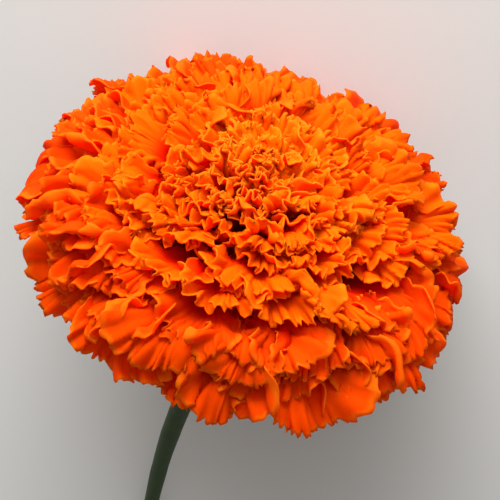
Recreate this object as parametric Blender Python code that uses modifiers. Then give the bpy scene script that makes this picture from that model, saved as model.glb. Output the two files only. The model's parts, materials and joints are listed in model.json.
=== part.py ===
"""A double African marigold bloom, cut with a short stem and lying down on its rim petals and its stem.

Every petal is one ray floret: a narrow claw that sits on the receptacle, inside the green cup, and a
broad blade that fans out where it leaves the cup. The petals stand in rings. Each ring follows one
turned profile, and the profiles nest inside each other, so that no two petals touch.

The bloom is drawn about its own axis, +Z from the stem to the face, with the widest part of the bloom
at height 0. The whole is then tilted, until the rim petals and the cut end of the stem meet the floor.
World axes: +Z up, the stem runs towards +Y, and the face looks towards -Y and up.
"""

import math

import bmesh
import bpy
from mathutils import Vector

# The bloom, in metres.
BLOOM_RADIUS = 0.0420
BLOOM_HALF_HEIGHT = 0.0225
PETAL_THICKNESS = 0.00042

# The petals of each ring, from the drooping skirt behind the face to the small curled eye.
RING_SIZES = (8, 9, 8, 8, 7, 6, 5, 4, 3)
OUTER_RINGS = 4
EYE_RINGS = 2
SKIRT_TIP_ANGLE = 118.0  # degrees from the axis to the tips of the first ring
EYE_TIP_ANGLE = 12.0
SKIRT_LEAN = 58.0  # degrees that a petal's end leans outwards from the surface of the bloom
EYE_LEAN = 44.0
LEAVING_REACH = (0.34, 0.45)  # shares of its span over which a petal keeps the direction it starts in
ARRIVING_REACH = (0.36, 0.28)  # and of the direction it ends in, for the first and the last ring
RING_TURN = 137.5  # degrees from one ring's first petal to the next ring's, the golden angle

# Along a petal: the share of its length that stands inside the cup, below its widening blade.
CLAW_END = 0.25
CLAW_WIDTHS = (0.0019, 0.0007)
BLADE_WIDTH = 0.0235
BLADE_FILL = 0.86  # share of the ring that its petals cover at their widest
TIP_ROUNDING = 0.13
BLADE_WAVE = 0.0009
WAVE_STEP_IN_RING = 2.4  # radians from one petal's wave to its neighbour's
WAVE_STEP_TO_RING = 1.3
ROWS_ALONG = 8
COLUMNS_ACROSS = 4

# The receptacle and the mouth of the cup, below the widest part of the bloom.
SEAT_HEIGHT = -0.0282
MOUTH_HEIGHT = -0.0150
SEAT_RADII = (0.0059, 0.0007)
MOUTH_RADII = (0.0075, 0.0010)
MOUTH_SPLAY = (26.0, 2.0)  # degrees that a claw leans outwards at the mouth

# The green cup: radius and height of its wall, from the neck up to the foot of the teeth.
CUP_WALL = 0.0005
CUP_PROFILE = (
    (0.0033, -0.0352),
    (0.0052, -0.0338),
    (0.0071, -0.0312),
    (0.0083, -0.0270),
    (0.0089, -0.0220),
    (0.0091, -0.0172),
)
CUP_TEETH = 9
COLUMNS_PER_TOOTH = 4
TOOTH_HEIGHT = 0.0034
TOOTH_SPREAD = 0.0004
TOOTH_FOOT = 0.25  # share of the tooth's height that the wall has between two teeth

# The stem, with the receptacle as its swollen top: height along the axis and radius.
RECEPTACLE = (
    (-0.0287, 0.0058),
    (-0.0298, 0.0060),
    (-0.0312, 0.0054),
    (-0.0326, 0.0040),
    (-0.0340, 0.0026),
    (-0.0356, 0.0023),
)
STEM_END = -0.0905
STEM_RADII = (0.0023, 0.0016)
STEM_BOW = 0.0014
STEM_STEPS = 16
STEM_ROUNDNESS = 3  # Blender's bevel resolution

# How it lies: the height of the bloom's centre, and the layer near the floor where petals are pressed.
BLOOM_CENTRE_HEIGHT = 0.0377
PRESSED_LAYER = 0.0060
DEEPEST = -0.0024
LEAST_SHARE = -0.1

COLOURS = {
    "petal_outer": (0.86, 0.060, 0.004),
    "petal_inner": (0.93, 0.110, 0.006),
    "petal_eye": (0.90, 0.190, 0.012),
    "involucre": (0.060, 0.130, 0.030),
    "stem": (0.035, 0.075, 0.018),
}
ROUGHNESS = 0.55
SAME_POINT = 1e-6

TILT = math.asin((BLOOM_CENTRE_HEIGHT - STEM_RADII[1]) / -STEM_END)
UP = Vector((0.0, math.cos(TILT), math.sin(TILT)))


def blend(ends, share):
    """The value at a share of the way between two ends."""
    return ends[0] + (ends[1] - ends[0]) * share


def smoothstep(value):
    value = min(max(value, 0.0), 1.0)
    return value * value * (3.0 - 2.0 * value)


def clear_scene():
    for obj in list(bpy.data.objects):
        bpy.data.objects.remove(obj, do_unlink=True)


def make_material(name, colour):
    material = bpy.data.materials.new(name)
    material.use_nodes = True
    shader = material.node_tree.nodes["Principled BSDF"]
    shader.inputs["Base Color"].default_value = (*colour, 1.0)
    shader.inputs["Roughness"].default_value = ROUGHNESS
    shader.inputs["Metallic"].default_value = 0.0
    material.diffuse_color = (*colour, 1.0)
    return material


def pressed(point):
    """The point, lifted where it would sink into the floor. Heights keep their order, so petals stay apart."""
    height = BLOOM_CENTRE_HEIGHT + point.dot(UP)
    if height >= PRESSED_LAYER:
        return point
    share = max((height - DEEPEST) / (PRESSED_LAYER - DEEPEST), LEAST_SHARE)
    bend = PETAL_THICKNESS - DEEPEST
    rise = PRESSED_LAYER - PETAL_THICKNESS - bend
    lifted = PETAL_THICKNESS + rise * share + bend * share * share
    return point + UP * (lifted - height)


class RingProfile:
    """The turned line that the petals of one ring follow, from the receptacle to their tips."""

    def __init__(self, ring):
        share = ring / (len(RING_SIZES) - 1)
        tip_angle = math.radians(blend((SKIRT_TIP_ANGLE, EYE_TIP_ANGLE), share))
        tip = Vector((BLOOM_RADIUS * math.sin(tip_angle), BLOOM_HALF_HEIGHT * math.cos(tip_angle)))
        outwards = math.atan2(math.sin(tip_angle) / BLOOM_RADIUS, math.cos(tip_angle) / BLOOM_HALF_HEIGHT)
        end_angle = outwards + math.radians(blend((SKIRT_LEAN, EYE_LEAN), share))
        splay = math.radians(blend(MOUTH_SPLAY, share))
        seat = Vector((blend(SEAT_RADII, share), SEAT_HEIGHT))
        mouth = Vector((blend(MOUTH_RADII, share), MOUTH_HEIGHT))
        span = (tip - mouth).length
        start = Vector((math.sin(splay), math.cos(splay))) * span
        end = Vector((math.sin(end_angle), math.cos(end_angle))) * span
        leaving = mouth + start * blend(LEAVING_REACH, share)
        arriving = tip - end * blend(ARRIVING_REACH, share)
        self.handles = (mouth, leaving, arriving, tip)
        self.seat = seat

    def at(self, along):
        """The radius and height at a share of the petal's length."""
        if along < CLAW_END:
            return self.seat.lerp(self.handles[0], along / CLAW_END)
        t = (along - CLAW_END) / (1.0 - CLAW_END)
        first, second, third, last = self.handles
        return (
            first * (1 - t) ** 3
            + second * 3 * t * (1 - t) ** 2
            + third * 3 * t * t * (1 - t)
            + last * t**3
        )


def grid_object(name, columns, rows, place, thickness, material, collection):
    """A sheet of faces whose corners place(across, along) sets, thickened evenly on both sides."""
    mesh = bpy.data.meshes.new(name)
    work = bmesh.new()
    bmesh.ops.create_grid(work, x_segments=columns, y_segments=rows, size=1.0)
    for vertex in work.verts:
        vertex.co = place(vertex.co.x, (vertex.co.y + 1.0) / 2.0)
    bmesh.ops.remove_doubles(work, verts=work.verts, dist=SAME_POINT)
    work.to_mesh(mesh)
    work.free()
    mesh.shade_smooth()
    mesh.materials.append(material)
    obj = bpy.data.objects.new(name, mesh)
    collection.objects.link(obj)
    solidify = obj.modifiers.new("Thickness", "SOLIDIFY")
    solidify.thickness = thickness
    solidify.offset = 0.0
    return obj


def petal_placer(ring, index):
    """The function that lays a petal's sheet on its ring's profile."""
    count = RING_SIZES[ring]
    share = ring / (len(RING_SIZES) - 1)
    profile = RingProfile(ring)
    azimuth = math.radians(RING_TURN) * ring + math.tau * index / count
    half_claw = blend(CLAW_WIDTHS, share) / 2
    room = math.tau / count * profile.at(1.0).x * BLADE_FILL
    half_blade = min(room, BLADE_WIDTH) / 2
    wave_phase = WAVE_STEP_IN_RING * index + WAVE_STEP_TO_RING * ring

    def place(across, along):
        open_share = smoothstep((along - CLAW_END) / (1.0 - CLAW_END))
        half_width = half_claw + (half_blade - half_claw) * open_share
        line = profile.at(along * (1.0 - TIP_ROUNDING * open_share * across * across))
        turn = azimuth + min(half_width / line.x, math.pi / count * BLADE_FILL) * across
        lift = BLADE_WAVE * open_share * math.sin(math.pi * across + wave_phase)
        point = Vector((line.x * math.cos(turn), line.x * math.sin(turn), line.y + lift))
        return pressed(point)

    return place


def cup_place(across, along):
    """The cup's wall: a turned profile, with a row of pointed teeth round its mouth."""
    turn = math.pi * across
    row = round(along * len(CUP_PROFILE))
    if row < len(CUP_PROFILE):
        radius, height = CUP_PROFILE[row]
    else:
        radius, height = CUP_PROFILE[-1]
        column = round((across + 1.0) / 2.0 * CUP_TEETH * COLUMNS_PER_TOOTH) % COLUMNS_PER_TOOTH
        rise = 1.0 - abs(column / COLUMNS_PER_TOOTH * 2.0 - 1.0)
        height += TOOTH_HEIGHT * blend((TOOTH_FOOT, 1.0), rise)
        radius += TOOTH_SPREAD * rise
    return Vector((radius * math.cos(turn), radius * math.sin(turn), height))


def make_petals(collection, materials):
    petals = []
    for ring, count in enumerate(RING_SIZES):
        if ring < OUTER_RINGS:
            material = materials["petal_outer"]
        elif ring < len(RING_SIZES) - EYE_RINGS:
            material = materials["petal_inner"]
        else:
            material = materials["petal_eye"]
        for index in range(count):
            petals.append(
                grid_object(
                    f"ring{ring + 1}_petal_{index + 1}",
                    COLUMNS_ACROSS,
                    ROWS_ALONG,
                    petal_placer(ring, index),
                    PETAL_THICKNESS,
                    material,
                    collection,
                )
            )
    return petals


def make_cup(collection, material):
    return grid_object(
        "involucre",
        CUP_TEETH * COLUMNS_PER_TOOTH,
        len(CUP_PROFILE),
        cup_place,
        CUP_WALL,
        material,
        collection,
    )


def make_stem(collection, material):
    """The stem and the receptacle at its top, one tube whose radius varies along a gently bowed line."""
    stations = [(0.0, height, radius) for height, radius in RECEPTACLE]
    top = RECEPTACLE[-1][0]
    for step in range(1, STEM_STEPS + 1):
        share = step / STEM_STEPS
        bow = STEM_BOW * math.sin(math.pi * share)
        stations.append((bow, top + (STEM_END - top) * share, blend(STEM_RADII, share)))
    curve = bpy.data.curves.new("stem", "CURVE")
    curve.dimensions = "3D"
    curve.bevel_depth = 1.0
    curve.bevel_resolution = STEM_ROUNDNESS
    curve.use_fill_caps = True
    spline = curve.splines.new("POLY")
    spline.points.add(len(stations) - 1)
    for point, (bow, height, radius) in zip(spline.points, stations):
        point.co = (bow, 0.0, height, 1.0)
        point.radius = radius
    curve.materials.append(material)
    stem = bpy.data.objects.new("stem", curve)
    collection.objects.link(stem)
    return stem


def lowest_and_highest(objects):
    """The corners of the box round the objects, as they are evaluated."""
    bpy.context.view_layer.update()
    graph = bpy.context.evaluated_depsgraph_get()
    corners = []
    for obj in objects:
        evaluated = obj.evaluated_get(graph)
        corners += [evaluated.matrix_world @ vertex.co for vertex in evaluated.to_mesh().vertices]
        evaluated.to_mesh_clear()
    low = Vector([min(corner[axis] for corner in corners) for axis in range(3)])
    high = Vector([max(corner[axis] for corner in corners) for axis in range(3)])
    return low, high


def lay_down(objects, collection):
    """Tilts the bloom onto its rim and stem, and puts the origin under the middle of its box."""
    axis = bpy.data.objects.new("bloom_axis", None)
    collection.objects.link(axis)
    axis.rotation_euler = (math.pi / 2 - TILT, 0.0, 0.0)
    for obj in objects:
        obj.parent = axis
    low, high = lowest_and_highest(objects)
    axis.location = (-(low.x + high.x) / 2, -(low.y + high.y) / 2, -low.z)


def main():
    clear_scene()
    collection = bpy.data.collections.new("marigold_flower")
    bpy.context.scene.collection.children.link(collection)
    materials = {name: make_material(name, colour) for name, colour in COLOURS.items()}
    pieces = make_petals(collection, materials)
    pieces.append(make_cup(collection, materials["involucre"]))
    pieces.append(make_stem(collection, materials["stem"]))
    lay_down(pieces, collection)


main()
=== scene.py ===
"""Finished looks of a double African marigold bloom, lying on its rim petals and the cut end of its stem.

The petals are ray florets. Each starts as a cage of points laid on the line that its ring follows. The
cages are then let go together: their edges keep their real lengths, so the broad blades buckle into
ruffles, while neighbouring petals push each other apart and the floor pushes the lowest ones up. A
geometry tree adds the fine frill and the toothed rim to each cage, and a Solidify gives it its thickness.
The cut stem follows the frame's own rings and the green cup a listed profile, each with its own tree for ribs and
teeth.
"""

import json
import math

import bmesh
import bpy
import numpy as np
from mathutils import Matrix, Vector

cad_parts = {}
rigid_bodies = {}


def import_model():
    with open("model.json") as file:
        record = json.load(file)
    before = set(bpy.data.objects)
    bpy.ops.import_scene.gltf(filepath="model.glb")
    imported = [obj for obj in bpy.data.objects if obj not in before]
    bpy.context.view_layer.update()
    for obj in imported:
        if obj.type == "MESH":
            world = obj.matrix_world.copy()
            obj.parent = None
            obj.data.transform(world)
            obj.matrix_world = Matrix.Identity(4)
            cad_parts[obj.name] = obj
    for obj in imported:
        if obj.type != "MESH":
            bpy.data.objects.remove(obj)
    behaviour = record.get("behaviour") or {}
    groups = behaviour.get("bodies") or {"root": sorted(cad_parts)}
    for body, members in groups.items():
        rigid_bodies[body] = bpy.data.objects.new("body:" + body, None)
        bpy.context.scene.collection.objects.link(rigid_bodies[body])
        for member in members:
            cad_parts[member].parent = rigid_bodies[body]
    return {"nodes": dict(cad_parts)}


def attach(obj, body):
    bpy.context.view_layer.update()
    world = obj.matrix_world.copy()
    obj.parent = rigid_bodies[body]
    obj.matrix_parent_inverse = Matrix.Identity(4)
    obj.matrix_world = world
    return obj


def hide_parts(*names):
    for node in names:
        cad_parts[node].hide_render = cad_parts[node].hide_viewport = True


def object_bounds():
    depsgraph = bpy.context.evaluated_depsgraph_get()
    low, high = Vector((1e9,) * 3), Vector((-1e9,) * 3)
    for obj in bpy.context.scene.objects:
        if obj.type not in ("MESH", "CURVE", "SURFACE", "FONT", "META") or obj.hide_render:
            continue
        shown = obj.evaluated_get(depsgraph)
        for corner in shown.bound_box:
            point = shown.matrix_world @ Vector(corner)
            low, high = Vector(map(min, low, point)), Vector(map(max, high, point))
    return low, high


bl_info = {
    "name": "Marigold Bloom",
    "version": (1, 0, 0),
    "blender": (4, 5, 0),
    "location": "View3D > Sidebar > Marigold",
    "description": "Builds a ruffled double marigold bloom with its green cup and cut stem",
    "category": "Add Mesh",
}

for leftover in list(bpy.data.objects):
    bpy.data.objects.remove(leftover, do_unlink=True)
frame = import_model()
CAD_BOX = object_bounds()

RINGS = 9
SEED = 4117
GOLDEN_ANGLE = math.radians(137.5)
UP = np.array([0.0, 0.0, 1.0])


# Measures of the frame. The bloom's own axes: z from the stem to the face, its widest plane at height 0.

SEAT_DEPTH = 0.0287  # the top of the receptacle, below the widest plane
CAP_BAND = 0.0004  # how near to a stem's end its corners count as its cut face
RING_GAP = 0.0005  # the least height between two rings of corners along the frame's stem


def node_points(name):
    """The corners of a node's mesh, as an array."""
    vertices = frame["nodes"][name].data.vertices
    points = np.empty(len(vertices) * 3, np.float32)
    vertices.foreach_get("co", points)
    return points.reshape(-1, 3).astype(float)


def unit(vector):
    return vector / np.linalg.norm(vector)


def unit_rows(vectors):
    return vectors / np.linalg.norm(vectors, axis=-1, keepdims=True)


def measure_axis():
    """The bloom's centre, its three axes as rows, and the centre of the stem's cut end."""
    stem = node_points("stem")
    cup = node_points("involucre")
    rough = unit(cup.mean(0) - stem.mean(0))
    places = stem @ rough
    seat = stem[places > places.max() - CAP_BAND].mean(0)
    cut = stem[places < places.min() + CAP_BAND].mean(0)
    axis = unit(seat - cut)
    across = unit(np.cross(np.cross(axis, [1.0, 0.0, 0.0]), axis))
    return seat + axis * SEAT_DEPTH, np.array([across, np.cross(axis, across), axis]), cut


CENTRE, AXES, CUT_END = measure_axis()
STEM_REACH = float(np.linalg.norm(CUT_END - CENTRE))


def to_bloom(points):
    return (points - CENTRE) @ AXES.T


def to_world(points):
    return points @ AXES + CENTRE


def petal_nodes():
    """Each petal of the frame: its name, ring number from 0, and its azimuth round the axis."""
    found = []
    for name in sorted(frame["nodes"]):
        if "_petal_" in name:
            ring = int(name.split("_")[0][4:]) - 1
            points = to_bloom(node_points(name))
            found.append((name, ring, math.atan2(points[:, 1].sum(), points[:, 0].sum())))
    return found


PETALS = petal_nodes()


def stem_stations():
    """The middle and the radius of each ring of corners along the frame's stem, from its cut end up."""
    points = to_bloom(node_points("stem"))
    points = points[np.argsort(points[:, 2])]
    breaks = np.flatnonzero(np.diff(points[:, 2]) > RING_GAP) + 1
    stations = []
    for ring in np.split(points, breaks):
        middle = ring.mean(0)
        stations.append((middle, float(np.linalg.norm(ring[:, :2] - middle[:2], axis=1).max())))
    return stations
BLOOM_RADIUS = 0.0422
BLOOM_HALF_HEIGHT = 0.0207
UNDER_HALF_HEIGHT = 0.045  # of the rounder shape that bounds the bloom below its widest plane
DOME_LIMIT = 1.11  # petals are held back beyond this share of the way to the bloom's surface
DOME_GRIP = 0.08  # share of the excess that one step takes back
DEPTH_SHADE_BAND = 0.33  # depth under the bloom's surface, as a share of the way in, over which petals are painted deep red as shade

# How the florets are laid out and how they give way to each other.

ROWS_CLAW = 3
ROWS_BLADE = 14
ROWS = ROWS_CLAW + ROWS_BLADE
COLUMNS = 37
SEAT = ((0.0059, -0.0282), (0.0007, -0.0282))  # radius and height of the claws' feet, first ring and eye
MOUTH = ((0.0075, -0.0150), (0.0010, -0.0150))
SPLAY = (26.0, 2.0)
TIP_ANGLES = (107.0, 12.0)
LEANS = (50.0, 76.0, 75.0, 62.0)  # degrees that a tip leans from the bloom's surface, first ring to eye
CLAW_HALF_WIDTH = 0.0012
TOUCHING = 0.00075  # how near two petals' middles may come
STEPS = 64
BLADE_LENGTHS = (0.0225, 0.0168)
FAN_ANGLES = (34.0, 31.0)
BLADE_HEART = 0.42  # share of the blade's length at which its ruffles meet
LAYERS = (2, 2, 3, 3, 3, 4, 5, 4, 4)  # petals in each ring for each petal of the frame
EYE_FLORETS = 32
EYE_RADIUS = 0.0078


def blend(ends, share):
    return ends[0] + (ends[1] - ends[0]) * share


def smooth(values, low=0.0, high=1.0):
    values = np.clip((values - low) / (high - low), 0.0, 1.0)
    return values * values * (3.0 - 2.0 * values)


def florets_of_bloom():
    """Every floret: its piece's name, ring, share of the way from skirt to eye, azimuth and size."""
    florets = []
    for name, ring, azimuth in PETALS:
        florets.append({"piece": name, "ring": ring, "share": ring / (RINGS - 1), "azimuth": azimuth, "size": 1.0})
    for ring, layers in enumerate(LAYERS):
        turns = sorted(azimuth for _, its_ring, azimuth in PETALS if its_ring == ring)
        for first, second in zip(turns, turns[1:] + [turns[0] + math.tau]):
            for layer in range(1, layers):
                florets.append(
                    {
                        "piece": f"ring{ring + 1}_between",
                        "ring": ring,
                        "share": (ring + layer / layers) / (RINGS - 1),
                        "azimuth": blend((first, second), layer / layers),
                        "size": 0.97,
                    }
                )
    for index in range(EYE_FLORETS):
        florets.append(
            {
                "piece": "eye_florets",
                "ring": RINGS,
                "share": 1.0,
                "azimuth": GOLDEN_ANGLE * index,
                "size": 0.43,
                "eye": math.sqrt((index + 0.5) / EYE_FLORETS),
            }
        )
    return florets


def whims_of(draw, floret):
    """The random features of one floret, drawn once."""
    return {
        "azimuth": draw.normal(0.0, 0.10),
        "ring": draw.uniform(-0.55, 0.55),
        "reach": draw.uniform(-0.0024, 0.0006),
        "lean": float(np.clip(draw.normal(0.0, 12.0), -16.0, 12.0)),
        "length": draw.uniform(0.9, 1.12),
        "fan": draw.uniform(0.88, 1.14),
        "fold": draw.uniform(0.0005, 0.0014),
        "folds": draw.uniform(1.5, 2.8),
        "fold_phase": draw.uniform(0.0, math.tau),
        "cupping": draw.uniform(-0.04, 0.36),
        "curl": draw.uniform(-1.3, 0.0),
        "ruffle": draw.uniform(0.8, 1.25),
        "waves": draw.uniform(6.0, 9.0),
        "wave_phase": draw.uniform(0.0, math.tau),
        "swerve": draw.uniform(-1.0, 1.0),
        "twist": draw.normal(0.0, 0.24),
        "side": draw.normal(0.0, 0.11),
        "tint": draw.uniform(0.0, 1.0),
    }


def floret_line(floret, whims):
    """Evenly spaced radii and heights along a floret, and their distances from its foot."""
    share = max(floret["share"] + whims["ring"] / (RINGS - 1), 0.0)
    tip_angle = math.radians(blend(TIP_ANGLES, share))
    reach = 1.0 + whims["reach"] / BLOOM_RADIUS
    tip = np.array([BLOOM_RADIUS * math.sin(tip_angle), BLOOM_HALF_HEIGHT * math.cos(tip_angle)]) * reach
    outwards = math.degrees(math.atan2(tip[0] / BLOOM_RADIUS**2, tip[1] / BLOOM_HALF_HEIGHT**2))
    lean = float(np.interp(share, np.linspace(0.0, 1.0, len(LEANS)), LEANS))
    end_angle = math.radians(outwards + lean + whims["lean"])
    if "eye" in floret:
        radius = EYE_RADIUS * floret["eye"]
        tip = np.array([radius, 0.0172 + 0.0014 * floret["eye"] + whims["reach"] * 0.6])
        end_angle = math.radians(-25.0 + 80.0 * floret["eye"] + 1.5 * whims["lean"])
    share = min(share, 1.0)
    foot = np.array([blend((SEAT[0][0], SEAT[1][0]), share), SEAT[0][1]])
    mouth = np.array([blend((MOUTH[0][0], MOUTH[1][0]), share), MOUTH[0][1]])
    splay = math.radians(blend(SPLAY, share))
    span = np.linalg.norm(tip - mouth)
    leaving = mouth + np.array([math.sin(splay), math.cos(splay)]) * span * blend((0.34, 0.45), share)
    arriving = tip - np.array([math.sin(end_angle), math.cos(end_angle)]) * span * blend((0.40, 0.30), share)
    t = np.linspace(0.0, 1.0, 160)[:, None]
    bend = (1 - t) ** 3 * mouth + 3 * t * (1 - t) ** 2 * leaving + 3 * t * t * (1 - t) * arriving + t**3 * tip
    line = np.vstack([np.linspace(foot, mouth, 24)[:-1], bend])
    distances = np.concatenate([[0.0], np.cumsum(np.linalg.norm(np.diff(line, axis=0), axis=1))])
    return line, distances


# Each row's share of the blade's length. Rows stand closer near the rim.
OPENED = np.concatenate([np.zeros(ROWS_CLAW), np.linspace(0.0, 1.0, ROWS_BLADE) ** 0.8])


def rim_places(opened, across):
    """How near each corner is to the blade's outline, from 0 to 1, and its angle round the blade's heart."""
    sides = np.abs(across) ** 3 * smooth(opened, 0.1, 0.4)
    edge = 1.0 - (1.0 - opened) * (1.0 - sides)
    around = np.arctan2(across * (0.25 + 0.75 * opened), (opened - BLADE_HEART) * 1.25)
    return edge, around


def lay_floret(floret, whims, ruffling):
    """The floret's cage, rows from its foot to its rim, in the bloom's axes."""
    line, distances = floret_line(floret, whims)
    total = distances[-1]
    share = min(floret["share"], 1.0)
    blade = blend(BLADE_LENGTHS, share) * whims["length"] * floret["size"]
    fan = math.radians(blend(FAN_ANGLES, share)) * whims["fan"]
    across = np.linspace(-1.0, 1.0, COLUMNS)[None, :]
    claw_rows = np.linspace(0.0, 1.0, ROWS_CLAW, endpoint=False)[:, None] * (total - blade)
    spread = OPENED[ROWS_CLAW:, None]
    radius = blade * (0.03 + 0.97 * spread) * (1.0 - 0.16 * spread * across**4)
    blade_along = (total - blade) + radius * np.cos(across * fan)
    along = np.vstack([claw_rows + 0.0 * across, blade_along])
    sideways = np.vstack([CLAW_HALF_WIDTH * across + 0.0 * claw_rows, radius * np.sin(across * fan)])
    sideways[ROWS_CLAW:] += CLAW_HALF_WIDTH * across * (1.0 - spread)
    opened = OPENED[:, None]
    edge, around = rim_places(opened, across)
    ripple = smooth(edge, 0.5, 1.0) ** 1.3 * smooth(opened, 0.15, 0.6)
    wave = whims["waves"] * around + whims["wave_phase"]
    wave = wave + 0.8 * np.sin(1.3 * around + 3.0 * whims["swerve"])
    depth = 0.0012 * whims["ruffle"] * floret["size"] * ruffling
    lift = depth * ripple * (np.sin(wave) + 0.35 * np.sin(1.9 * wave + 2.0 * whims["swerve"]))
    lift = lift + whims["fold"] * floret["size"] * opened * np.cos(
        math.pi * whims["folds"] * across + whims["fold_phase"]
    )
    lift = lift + whims["cupping"] * sideways**2 / (blade * math.sin(fan)) * opened
    lift = lift - whims["curl"] * 0.0030 * floret["size"] * opened**3
    lift = lift + 0.35 * (1.0 - opened) * np.abs(sideways)
    sideways = sideways - 0.42 * depth * ripple * np.sin(2.0 * wave)
    twist = whims["twist"] * opened
    sideways, lift = (
        sideways * np.cos(twist) - lift * np.sin(twist),
        sideways * np.sin(twist) + lift * np.cos(twist),
    )
    sideways = sideways + whims["side"] * blade * opened**2
    beyond = np.clip(along - total, 0.0, None)
    along = np.minimum(along, total)
    r = np.interp(along, distances, line[:, 0])
    w = np.interp(along, distances, line[:, 1])
    step = 0.0006
    ahead = np.minimum(along + step, total)
    behind = ahead - 2 * step
    run_r = np.interp(ahead, distances, line[:, 0]) - np.interp(behind, distances, line[:, 0])
    run_w = np.interp(ahead, distances, line[:, 1]) - np.interp(behind, distances, line[:, 1])
    length = np.hypot(run_r, run_w)
    run_r, run_w = run_r / length, run_w / length
    r = r + run_r * beyond - run_w * lift
    w = w + run_w * beyond + run_r * lift
    turn = floret["azimuth"] + whims["azimuth"] * (0.3 if "eye" in floret else 1.0)
    outward = np.array([math.cos(turn), math.sin(turn), 0.0])
    beside = np.array([-math.sin(turn), math.cos(turn), 0.0])
    return r[..., None] * outward + sideways[..., None] * beside + w[..., None] * np.array([0.0, 0.0, 1.0])


def near_pairs(points, owners, reach):
    """Index pairs of points of different owners that lie within reach of each other."""
    cells = np.floor(points / reach).astype(np.int64)
    cells -= cells.min(0) - 1
    key = (cells[:, 0] * 4096 + cells[:, 1]) * 4096 + cells[:, 2]
    order = np.argsort(key, kind="stable")
    ranked = key[order]
    firsts, seconds = [], []
    for dx in (0, 1):
        for dy in (-1, 0, 1) if dx else (0, 1):
            for dz in (-1, 0, 1) if dx or dy else (0, 1):
                wanted = key + (dx * 4096 + dy) * 4096 + dz
                low = np.searchsorted(ranked, wanted, "left")
                count = np.searchsorted(ranked, wanted, "right") - low
                first = np.repeat(np.arange(len(key)), count)
                skipped = np.repeat(np.cumsum(count) - count, count)
                second = order[np.repeat(low, count) + np.arange(len(first)) - skipped]
                keep = owners[first] != owners[second]
                if not (dx or dy or dz):
                    keep &= first < second
                first, second = first[keep], second[keep]
                close = ((points[first] - points[second]) ** 2).sum(1) < reach * reach
                firsts.append(first[close])
                seconds.append(second[close])
    return np.concatenate(firsts), np.concatenate(seconds)


def pull_edges(points, rest, span_rows, span_columns, firmness):
    """Moves the ends of every edge of one direction towards that edge's own length."""
    rows, columns = points.shape[1], points.shape[2]
    if span_columns >= 0:
        first = points[:, : rows - span_rows, : columns - span_columns]
        second = points[:, span_rows:, span_columns:]
    else:
        first = points[:, : rows - span_rows, -span_columns:]
        second = points[:, span_rows:, :span_columns]
    gap = second - first
    length = np.linalg.norm(gap, axis=-1, keepdims=True)
    if rest is None:
        return length
    pull = gap * (firmness * 0.5 * (1.0 - rest / np.maximum(length, 1e-7)))
    first += pull
    second -= pull
    return length


EDGE_KINDS = ((0, 1, 0.85), (1, 0, 0.85), (1, 1, 0.4), (1, -1, 0.4), (0, 2, 0.12), (2, 0, 0.25))


def dome_reach(points):
    """How far out each point lies: 0 at the bloom's heart, 1 on its surface."""
    height = np.where(points[..., 2] < 0.0, UNDER_HALF_HEIGHT, BLOOM_HALF_HEIGHT)
    return np.sqrt((points[..., :2] ** 2).sum(-1) / BLOOM_RADIUS**2 + (points[..., 2] / height) ** 2)


def settle(start, full, steps):
    """Lets the cages go together: edges keep the full cages' lengths, and petals push each other apart."""
    points = start.copy()
    rests = [pull_edges(full, None, rows, columns, 0.0) for rows, columns, _ in EDGE_KINDS]
    count = points.shape[0]
    each = ROWS * COLUMNS
    owners = np.repeat(np.arange(count), each)
    room = TOUCHING * (0.45 + 0.55 * smooth(OPENED, 0.0, 0.6))
    room = np.tile(np.repeat(room, COLUMNS), count)
    movable = np.repeat(OPENED > 0.0, COLUMNS)
    movable = np.tile(movable, count)
    active = np.flatnonzero(movable)
    low = np.array(CAD_BOX[0]) - 0.0004
    high = np.array(CAD_BOX[1]) + 0.0004
    low[2] = 0.0015
    first = second = None
    for step in range(steps):
        flat = points.reshape(-1, 3)
        if step % 3 == 0:
            first, second = near_pairs(flat[active], owners[active], TOUCHING * 1.25)
            first, second = active[first], active[second]
        gap = flat[second] - flat[first]
        length = np.sqrt((gap * gap).sum(1))
        lack = np.maximum(0.5 * (room[first] + room[second]) - length, 0.0)
        push = gap * (0.42 * lack / np.maximum(length, 1e-6))[:, None]
        shift = np.empty_like(flat)
        for axis in range(3):
            shift[:, axis] = np.bincount(second, push[:, axis], len(flat))
            shift[:, axis] -= np.bincount(first, push[:, axis], len(flat))
        size = np.sqrt((shift * shift).sum(1, keepdims=True))
        shift *= np.minimum(1.0, 0.0004 / np.maximum(size, 1e-9))
        flat += shift * movable[:, None]
        for (rows, columns, firmness), rest in zip(EDGE_KINDS, rests):
            pull_edges(points, rest, rows, columns, firmness)
        points += 0.012 * (start - points)
        reach = dome_reach(points)
        points *= (1.0 - DOME_GRIP * np.maximum(reach - DOME_LIMIT, 0.0) / np.maximum(reach, 0.1))[..., None]
        world = np.clip(to_world(points), low, high)
        points[:] = to_bloom(world)
        points[:, : ROWS_CLAW + 1] = start[:, : ROWS_CLAW + 1]
    return points


FLORETS = florets_of_bloom()


def bloom_cages():
    """Every floret's settled cage, in world axes, and every floret's tint."""
    draw = np.random.default_rng(SEED)
    whims = [whims_of(draw, floret) for floret in FLORETS]
    start = np.array([lay_floret(f, w, 0.45) for f, w in zip(FLORETS, whims)])
    full = np.array([lay_floret(f, w, 1.0) for f, w in zip(FLORETS, whims)])
    settled = settle(start, full, STEPS)
    return to_world(settled), [w["tint"] for w in whims]


# Node trees. An expression on values adds the Math nodes that work it out.


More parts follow.
